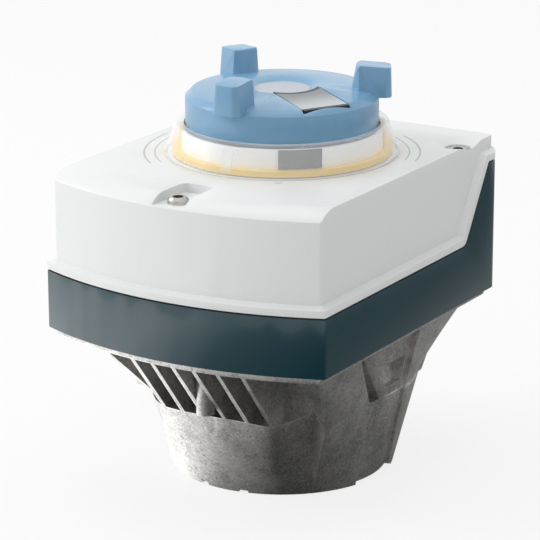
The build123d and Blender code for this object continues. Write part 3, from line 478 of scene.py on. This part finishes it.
@dataclass(frozen=True)
class StripMoulding(Moulding):
    """The wheel's grey strip, with painted shading that is pale towards its outer end, and painted
    shadow as a dark slot at each end.
    """

    direction: float = -30.0
    inner_slot: float = 16.1 * MM
    outer_slot: float = 33.3 * MM
    # painted shadow of the end slots, and the colour the painted shading brightens to at the outer
    # end
    slot_shadow_colour: Colour = srgb(30, 38, 46)
    pale: Colour = srgb(192, 198, 202)

    def paint(self, tree: Tree, base: bpy.types.NodeSocket) -> bpy.types.NodeSocket:
        """Paint shading along the strip, and painted shadow over its ends.

        Args:
            tree: The material's tree.
            base: The strip's own colour.

        Returns:
            The colour with its painted shading and slot shadows.
        """
        along, across, _ = tree.axes()
        turn = radians(self.direction)
        out = along * cos(turn) + across * sin(turn)
        # painted shading: lighter from the inner slot towards the outer one
        base = tree.mix(out.ramp(self.inner_slot, self.outer_slot), base, self.pale)
        fade = 0.15 * MM
        inner = tree.radius().ramp(self.inner_slot + fade, self.inner_slot - fade)
        outer = out.ramp(self.outer_slot - fade, self.outer_slot + fade)
        # painted shadow in the slots at both ends of the strip
        return tree.mix(inner.most(outer), base, self.slot_shadow_colour)


@dataclass(frozen=True)
class Enamel:
    """Glossy lacquer with the slight waviness of a sprayed coat."""

    name: str
    colour: Colour
    roughness: float = 0.24

    def make(self) -> bpy.types.Material:
        """Build the material."""
        tree = Tree(self.name)
        waves = tree.noise(2.2 * MM, 2)
        clouds = tree.noise(40 * MM, 3)
        dark = tuple(channel * 0.88 for channel in self.colour)
        bright = tuple(channel * 1.08 for channel in self.colour)
        return tree.surface(
            tree.mix(clouds, dark, bright),
            self.roughness + 0.08 * (clouds - 0.5),
            Coat_Weight=0.35,
            Coat_Roughness=0.12,
            Normal=tree.bump(waves, 0.012 * MM),
        )


@dataclass(frozen=True)
class SandCasting:
    """Cast aluminium as it leaves the mould: mottled, pitted, with bright grit, and worn edges
    painted bright, partly as a painted highlight.
    """

    name: str
    pale: Colour = srgb(212, 211, 208)
    dark: Colour = srgb(150, 149, 146)
    grit: Colour = srgb(248, 247, 244)

    def make(self) -> bpy.types.Material:
        """Build the material."""
        tree = Tree(self.name)
        patches = tree.noise(17 * MM, 6, 0.62, distortion=0.4)
        flow = tree.noise(7 * MM, 5, 0.6, distortion=0.8)
        pits = tree.noise(1.1 * MM, 4, 0.65)
        grit_noise = tree.noise(0.9 * MM, 3, 0.5)
        specks = grit_noise.ramp(0.62, 0.70)
        holes = tree.noise(2.4 * MM, 2, 0.4).ramp(0.34, 0.26)
        worn_edge_highlight = tree.edges(0.7 * MM).ramp(0.02, 0.16)
        tone = (0.3 * patches + 0.25 * flow + 0.45 * pits).ramp(0.34, 0.62)
        base = tree.mix(tone, self.dark, self.pale)
        base = tree.mix(0.75 * specks, base, self.grit)
        base = tree.mix(0.5 * holes, base, tuple(channel * 0.45 for channel in self.dark))
        # worn edges brightened, partly as a painted highlight along the edges
        base = tree.mix(0.65 * worn_edge_highlight, base, self.grit)
        height = 0.5 * pits + 0.35 * flow + 0.25 * specks - 0.4 * holes
        return tree.surface(
            base,
            0.36 + 0.18 * patches - 0.12 * worn_edge_highlight,
            Metallic=0.9,
            Normal=tree.bump(height, 0.22 * MM),
        )


@dataclass(frozen=True)
class Metal:
    """Turned, stamped or plated metal with fine directional marks."""

    name: str
    colour: Colour
    roughness: float = 0.32
    marks: float = 0.25 * MM

    def make(self) -> bpy.types.Material:
        """Build the material."""
        tree = Tree(self.name)
        marks = tree.noise(self.marks, 3, 0.6, stretch=6.0)
        stains = tree.noise(6 * MM, 4)
        dark = tuple(channel * 0.72 for channel in self.colour)
        return tree.surface(
            tree.mix(stains, dark, self.colour),
            self.roughness + 0.16 * (stains - 0.5) + 0.1 * (marks - 0.5),
            Metallic=1.0,
            Normal=tree.bump(marks, 0.008 * MM),
        )


@dataclass(frozen=True)
class SocketedZinc(Metal):
    """Plated screw heads, with a drive socket at each screw's axis painted dark as its shade."""

    axes: tuple[tuple[float, float], ...] = ()
    socket: float = 2.1 * MM

    def make(self) -> bpy.types.Material:
        """Build the material."""
        tree = Tree(self.name)
        stains = tree.noise(1.6 * MM, 4)
        near = tree.radius(self.axes[0])
        for axis in self.axes[1:]:
            near = near.least(tree.radius(axis))
        edge = 0.25 * MM
        # painted shade: the drive socket is drawn near-black and less metallic
        hole = near.ramp(self.socket + edge, self.socket - edge)
        dark = tuple(channel * 0.6 for channel in self.colour)
        base = tree.mix(stains, dark, self.colour)
        return tree.surface(
            tree.mix(0.85 * hole, base, srgb(28, 30, 32)),
            self.roughness + 0.16 * (stains - 0.5),
            Metallic=1.0 - 0.8 * hole,
            Normal=tree.bump(near.ramp(self.socket, self.socket - 2 * edge), -0.2 * MM),
        )


@dataclass(frozen=True)
class ClearPlastic:
    """Clear polycarbonate with a little haze and fine scratches."""

    name: str
    tint: Colour = (0.985, 0.99, 0.99)
    milk: float = 0.16

    def make(self) -> bpy.types.Material:
        """Build the material."""
        tree = Tree(self.name)
        haze = tree.noise(9 * MM, 4)
        scratches = tree.noise(0.5 * MM, 2, 0.5, stretch=12.0)
        normal = tree.bump(scratches, 0.003 * MM)
        tree.surface((0.94, 0.95, 0.96), 0.1 + 0.08 * haze, Normal=normal)
        milky = tree.output.inputs["Surface"].links[0].from_socket
        clear = tree.node("ShaderNodeBsdfTransparent", inputs={"Color": (*self.tint, 1.0)})
        facing = tree.node("ShaderNodeFresnel", inputs={"IOR": 1.45, "Normal": normal})
        inside = Value(tree, tree.node("ShaderNodeNewGeometry").outputs["Backfacing"])
        sheen = Value(tree, facing.outputs[0]) * (1.0 - inside)
        share = (self.milk + 0.08 * haze + sheen).least(1.0)
        path = tree.node("ShaderNodeLightPath")
        for ray in ("Is Shadow Ray", "Is Diffuse Ray"):
            share = share * (1.0 - Value(tree, path.outputs[ray]))
        blend = tree.node(
            "ShaderNodeMixShader", inputs={0: share, 1: clear.outputs[0], 2: milky}
        )
        tree.links.new(blend.outputs[0], tree.output.inputs["Surface"])
        return tree.material


class Slot(Enum):
    """The record's material slots and their finishes."""

    CASTING = "casting"
    HOUSING_PAINT = "housing_paint"
    COVER_PLASTIC = "cover_plastic"
    SEAL = "seal"
    ZINC = "zinc"
    STEEL = "steel"
    SPRING_STEEL = "spring_steel"
    WINDOW = "window"
    DRUM_WHITE = "drum_white"
    YELLOW = "yellow"
    FIELD_GREY = "field_grey"
    WHEEL_BLUE = "wheel_blue"
    DISC_GREY = "disc_grey"
    STRIP_GREY = "strip_grey"
    BRONZE = "bronze"
    GEAR_PLASTIC = "gear_plastic"
    GEAR_BRASS = "gear_brass"
    MOTOR_SHELL = "motor_shell"
    BOARD = "board"
    COMPONENT = "component"
    TERMINAL = "terminal"
    PLUG = "plug"


FINISHES = {
    Slot.CASTING: SandCasting("cast_aluminium"),
    Slot.HOUSING_PAINT: Enamel("petrol_enamel", srgb(12, 56, 65)),
    Slot.COVER_PLASTIC: EngravedMoulding(
        "off_white",
        srgb(228, 230, 229),
        0.4,
        cloud=0.008,
        # engraved arcs and tick, drawn as painted groove shade
        lines=(
            ArcLine(54.0 * MM, 179.0, 232.0, 0.7 * MM),
            ArcLine(49.8 * MM, 179.0, 232.0),
            ArcLine(54.0 * MM, 13.0, 57.0, 0.7 * MM),
            ArcLine(49.8 * MM, 13.0, 57.0),
            ArcLine(48.9 * MM, -61.2, -59.8, 3.0 * MM),
        ),
    ),
    Slot.SEAL: Moulding("seal_rubber", srgb(34, 36, 38), 0.7),
    Slot.ZINC: Metal("zinc_plate", srgb(196, 194, 190), 0.3),
    Slot.STEEL: Metal("turned_steel", srgb(176, 176, 178), 0.35),
    Slot.SPRING_STEEL: Metal("spring_wire", srgb(150, 150, 154), 0.3),
    Slot.WINDOW: ClearPlastic("clear_window"),
    # the drum is white; its yellow bands at the window's two ends seen from the camera are painted
    # refraction of the yellow ring
    Slot.DRUM_WHITE: RefractedBandMoulding(
        "drum_white", srgb(254, 254, 254), 0.45, cloud=0.01, marks=((-146.0, 10.0), (28.0, 10.0))
    ),
    Slot.YELLOW: Moulding("signal_yellow", srgb(255, 204, 0), 0.35),
    Slot.FIELD_GREY: Moulding("field_grey", srgb(62, 65, 67), 0.5),
    Slot.WHEEL_BLUE: Moulding("wheel_blue", srgb(112, 160, 194), 0.32, cloud=0.015, coat=0.4),
    Slot.DISC_GREY: Moulding("disc_grey", srgb(178, 186, 194), 0.35, cloud=0.01),
    Slot.STRIP_GREY: StripMoulding("strip_grey", srgb(128, 134, 138), 0.4, cloud=0.01),
    Slot.BRONZE: Metal("bush_bronze", srgb(176, 140, 92), 0.5),
    Slot.GEAR_PLASTIC: Moulding("gear_natural", srgb(226, 222, 208), 0.4),
    Slot.GEAR_BRASS: Metal("gear_brass", srgb(196, 166, 96), 0.3),
    Slot.MOTOR_SHELL: Metal("motor_shell", srgb(120, 122, 124), 0.4),
    Slot.BOARD: Moulding("board_green", srgb(24, 92, 52), 0.3),
    Slot.COMPONENT: Moulding("component_black", srgb(38, 38, 40), 0.45),
    Slot.TERMINAL: Moulding("terminal_green", srgb(52, 120, 70), 0.4),
    Slot.PLUG: Moulding("plug_black", srgb(40, 42, 44), 0.5),
}


COVER_SCREW_FINISH = SocketedZinc(
    "cover_screw",
    srgb(206, 204, 200),
    axes=((0.0, -74.5 * MM), (53.2 * MM, 46.6 * MM), (-53.2 * MM, 46.6 * MM)),
)


def node_slot(node: str) -> Slot:
    """Look up the record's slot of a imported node.

    Args:
        node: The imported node.

    Returns:
        Its slot.
    """
    for entry in frame["record"]["subparts"]:
        if entry["node"] == node:
            return Slot(entry["material_slot"])
    raise KeyError(node)


def node_body(node: str) -> str:
    """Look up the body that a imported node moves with.

    Args:
        node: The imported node.

    Returns:
        The body's name.
    """
    bodies = frame["record"]["behaviour"]["bodies"]
    return next(body for body, nodes in bodies.items() if node in nodes)


@dataclass
class Workshop:
    """Materials made once and handed to the pieces."""

    materials: dict[Slot, bpy.types.Material] = field(default_factory=dict)

    def material(self, slot: Slot) -> bpy.types.Material:
        """Give the material of a slot, made on first use.

        Args:
            slot: The record's slot.

        Returns:
            The material.
        """
        if slot not in self.materials:
            self.materials[slot] = FINISHES[slot].make()
        return self.materials[slot]

    def dress(self, piece: bpy.types.Object, slot: Slot) -> None:
        """Give a piece one material.

        Args:
            piece: The piece.
            slot: The slot whose material it gets.
        """
        piece.data.materials.clear()
        piece.data.materials.append(self.material(slot))

    def dress_nodes(self) -> None:
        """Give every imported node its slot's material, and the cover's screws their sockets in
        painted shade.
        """
        for name, node in frame["nodes"].items():
            self.dress(node, node_slot(name))
            log.info("dressed %s", name)
        frame["nodes"]["cover_screws"].data.materials[0] = COVER_SCREW_FINISH.make()


def stand(name: str, shape: bmesh.types.BMesh) -> bpy.types.Object:
    """Turn a finished shape into an object at the origin.

    Args:
        name: The object's name.
        shape: The shape, which is freed.

    Returns:
        The object.
    """
    mesh = bpy.data.meshes.new(name)
    shape.to_mesh(mesh)
    shape.free()
    piece = bpy.data.objects.new(name, mesh)
    bpy.context.scene.collection.objects.link(piece)
    return piece


def weld_copy(workshop: Workshop, node: str, width: float = 0.0) -> bpy.types.Object:
    """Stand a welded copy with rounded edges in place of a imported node.

    Args:
        workshop: The materials.
        node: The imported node.
        width: Width of the rounding; 0 leaves the edges as they are.

    Returns:
        The copy.
    """
    shape = bmesh.new()
    shape.from_mesh(frame["nodes"][node].data)
    bmesh.ops.remove_doubles(shape, verts=shape.verts, dist=WELD_GAP)
    bmesh.ops.dissolve_limit(
        shape, angle_limit=radians(FLAT_ANGLE), verts=shape.verts, edges=shape.edges
    )
    piece = stand(f"{node}_skin", shape)
    piece.data.shade_smooth()
    if width:
        bevel = piece.modifiers.new("edges", "BEVEL")
        bevel.width = width
        bevel.segments = 3
        bevel.limit_method = "ANGLE"
        bevel.angle_limit = radians(SHARP_ANGLE)
        bevel.harden_normals = True
        bevel.use_clamp_overlap = True
    workshop.dress(piece, node_slot(node))
    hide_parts(node)
    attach(piece, node_body(node))
    return piece


@dataclass(frozen=True)
class SoftBox:
    """A square area lamp: where it hangs, the length of its side and its watts."""

    name: str
    place: tuple[float, float, float]
    size: float
    power: float

    def hang(self, aim: Sequence[float]) -> None:
        """Hang the lamp.

        Args:
            aim: The point it faces.
        """
        data = bpy.data.lights.new(self.name, "AREA")
        data.shape = "SQUARE"
        data.size = self.size
        data.energy = self.power
        lamp = bpy.data.objects.new(self.name, data)
        lamp.location = self.place
        towards = Vector(aim) - Vector(self.place)
        lamp.rotation_euler = towards.to_track_quat("-Z", "Y").to_euler()
        bpy.context.scene.collection.objects.link(lamp)


@dataclass
class Studio:
    """Pale floor, soft lamps and the photograph's camera."""

    azimuth: float = 31.357
    elevation: float = 16.851
    roll: float = -0.139
    target: tuple[float, float, float] = (-5.684 * MM, 0.0, 77.039 * MM)
    distance: float = 1104.182 * MM
    lens: float = 185.063
    floor_size: float = 9.0
    floor_paleness: float = 0.82
    floor_glow: float = 0.8
    world_strength: float = 0.62
    middle: tuple[float, float, float] = (0.0, 0.0, 0.08)
    lamps: tuple[SoftBox, ...] = (
        SoftBox("left_box", (-1.36, -0.6, 0.9), 0.9, 12.5),
        SoftBox("top_box", (-0.1, 0.1, 1.5), 1.1, 6.5),
    )
    reflector_radius: float = 0.8
    reflector_lift: float = 0.1 * MM
    reflector_strength: float = 3.4
    reflector_levels: tuple[tuple[float, float], ...] = (
        (-180.0, 0.3),
        (-150.0, 0.6),
        (-120.0, 0.6),
        (-94.0, 0.1),
        (-60.0, 0.0),
        (-10.0, 0.02),
        (50.0, 0.06),
        (110.0, 0.2),
        (180.0, 0.3),
    )

    def camera(self) -> None:
        """Place the camera."""
        turn = radians(self.azimuth)
        lift = radians(self.elevation)
        back = Vector((sin(turn) * cos(lift), -cos(turn) * cos(lift), sin(lift)))
        right = Vector((cos(turn), sin(turn), 0.0))
        up = back.cross(right)
        tilt = Matrix.Rotation(radians(self.roll), 3, back)
        right, up = tilt @ right, tilt @ up
        data = bpy.data.cameras.new("camera")
        data.lens = self.lens
        data.sensor_width = 36.0
        data.clip_end = 50.0
        camera = bpy.data.objects.new("camera", data)
        pose = Matrix((right, up, back)).transposed().to_4x4()
        pose.translation = Vector(self.target) + back * self.distance
        camera.matrix_world = pose
        bpy.context.scene.collection.objects.link(camera)
        bpy.context.scene.camera = camera

    def floor(self) -> None:
        """Lay a pale floor that looks white to the camera and keeps the shadow."""
        shape = bmesh.new()
        bmesh.ops.create_grid(shape, x_segments=1, y_segments=1, size=self.floor_size / 2)
        floor = stand("floor", shape)
        tree = Tree("floor_paper")
        path = tree.node("ShaderNodeLightPath")
        seen = Value(tree, path.outputs["Is Camera Ray"])
        for ray in ("Is Glossy Ray", "Is Transmission Ray"):
            seen = seen.most(Value(tree, path.outputs[ray]))
        paper = tree.node(
            "ShaderNodeBsdfDiffuse", inputs={"Color": (*(self.floor_paleness,) * 3, 1.0)}
        )
        glow = tree.node(
            "ShaderNodeEmission", inputs={"Color": (1.0, 1.0, 1.0, 1.0), "Strength": 1.0}
        )
        blend = tree.node(
            "ShaderNodeMixShader",
            inputs={0: self.floor_glow * seen, 1: paper.outputs[0], 2: glow.outputs[0]},
        )
        tree.links.new(blend.outputs[0], tree.output.inputs["Surface"])
        floor.data.materials.append(tree.material)

    def reflector(self) -> None:
        """Lay a sheet that only reflections see: bright at the left, dark at the front right."""
        shape = bmesh.new()
        lift = Matrix.Translation((0.0, 0.0, self.reflector_lift))
        bmesh.ops.create_circle(
            shape, cap_ends=True, segments=96, radius=self.reflector_radius, matrix=lift
        )
        sheet = stand("reflector", shape)
        tree = Tree("reflector_sheet")
        along, across, _ = tree.axes()
        angle = tree.node("ShaderNodeMath", {"operation": "ARCTAN2"}, {0: across, 1: along})
        turn = Value(tree, angle.outputs[0]) / (2 * pi) + 0.5
        shade = tree.node(
            "ShaderNodeValToRGB",
            {
                "stops": [
                    ((place + 180) / 360, (level, level, level))
                    for place, level in self.reflector_levels
                ]
            },
            {"Fac": turn},
        )
        glow = tree.node(
            "ShaderNodeEmission",
            inputs={"Color": shade.outputs[0], "Strength": self.reflector_strength},
        )
        tree.links.new(glow.outputs[0], tree.output.inputs["Surface"])
        sheet.data.materials.append(tree.material)
        sheet.visible_camera = False
        sheet.visible_diffuse = False
        sheet.visible_transmission = False
        sheet.visible_shadow = False

    def world(self) -> None:
        """Surround the scene with even pale light."""
        world = bpy.data.worlds.new("studio")
        world.use_nodes = True
        bpy.context.scene.world = world
        background = world.node_tree.nodes["Background"]
        background.inputs["Color"].default_value = (1.0, 1.0, 1.0, 1.0)
        links = world.node_tree.links
        path = world.node_tree.nodes.new("ShaderNodeLightPath")
        level = world.node_tree.nodes.new("ShaderNodeMapRange")
        level.inputs["To Min"].default_value = 1.0
        level.inputs["To Max"].default_value = self.world_strength
        links.new(path.outputs["Is Diffuse Ray"], level.inputs["Value"])
        links.new(level.outputs[0], background.inputs["Strength"])

    def build(self) -> None:
        """Set the camera, the light and the floor."""
        bpy.context.scene.view_settings.view_transform = "Standard"
        self.camera()
        self.floor()
        self.reflector()
        self.world()
        for lamp in self.lamps:
            lamp.hang(self.middle)
        log.info("studio ready")


@dataclass
class Housing:
    """The enamelled base and the off-white cover."""

    workshop: Workshop
    base_rounding: float = 0.35 * MM
    cover_rounding: float = 0.5 * MM

    def build(self) -> None:
        """Round the edges of the large mouldings."""
        weld_copy(self.workshop, "base_housing", self.base_rounding)
        weld_copy(self.workshop, "top_cover", self.cover_rounding)
        log.info("housing ready")


@dataclass
class Bracket:
    """The die-cast foot with its fins."""

    workshop: Workshop
    rounding: float = 0.5 * MM

    def build(self) -> None:
        """Round the edges of the casting."""
        weld_copy(self.workshop, "mount_bracket", self.rounding)
        log.info("bracket ready")


@dataclass
class Window:
    """The clear ring, with the catch moulded on its wall."""

    workshop: Workshop
    direction: float = -87.0
    reach: float = 44.0 * MM
    height: float = 133.0 * MM
    lean: float = 20.4
    size: tuple[float, float, float] = (1.0 * MM, 4.4 * MM, 8.0 * MM)
    rounding: float = 0.35 * MM
    ring_rounding: float = 0.25 * MM

    def build(self) -> None:
        """Round the ring and stand the catch on its sloped wall."""
        weld_copy(self.workshop, "window_ring", self.ring_rounding)
        turn = Matrix.Rotation(radians(self.direction), 4, "Z")
        out = Matrix.Translation((self.reach, 0.0, self.height))
        lean = Matrix.Rotation(radians(-self.lean), 4, "Y")
        scale = Matrix.Diagonal((*self.size, 1.0))
        shape = bmesh.new()
        bmesh.ops.create_cube(shape, size=1.0, matrix=turn @ out @ lean @ scale)
        outer = max(shape.faces, key=lambda face: Vector(face.calc_center_median()).xy.length)
        bmesh.ops.inset_individual(
            shape, faces=[outer], thickness=2 * self.rounding, depth=-self.rounding
        )
        bmesh.ops.bevel(
            shape,
            geom=shape.edges,
            offset=self.rounding / 2,
            segments=2,
            affect="EDGES",
            profile=0.5,
            material=-1,
        )
        bmesh.ops.recalc_face_normals(shape, faces=shape.faces)
        catch = stand("window_catch", shape)
        self.workshop.dress(catch, Slot.WINDOW)
        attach(catch, node_body("window_ring"))
        log.info("window ready")


@dataclass
class HandWheel:
    """The blue wheel with three grip lugs, and the spring that lifts it."""

    workshop: Workshop
    push_travel: float = 5.0 * MM
    rounding: float = 0.9 * MM

    def build(self) -> None:
        """Round the edges of the wheel, and stand a welded copy of the spring with a mesh of its
        own.
        """
        weld_copy(self.workshop, "hand_wheel", self.rounding)
        spring = weld_copy(self.workshop, "return_spring")
        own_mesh(spring)
        log.info("hand wheel ready")


def main() -> None:
    """Build the scene."""
    logging.basicConfig(level=logging.INFO)
    workshop = Workshop()
    workshop.dress_nodes()
    Studio().build()
    Housing(workshop).build()
    Bracket(workshop).build()
    Window(workshop).build()
    HandWheel(workshop).build()


if __name__ == "__main__":
    main()
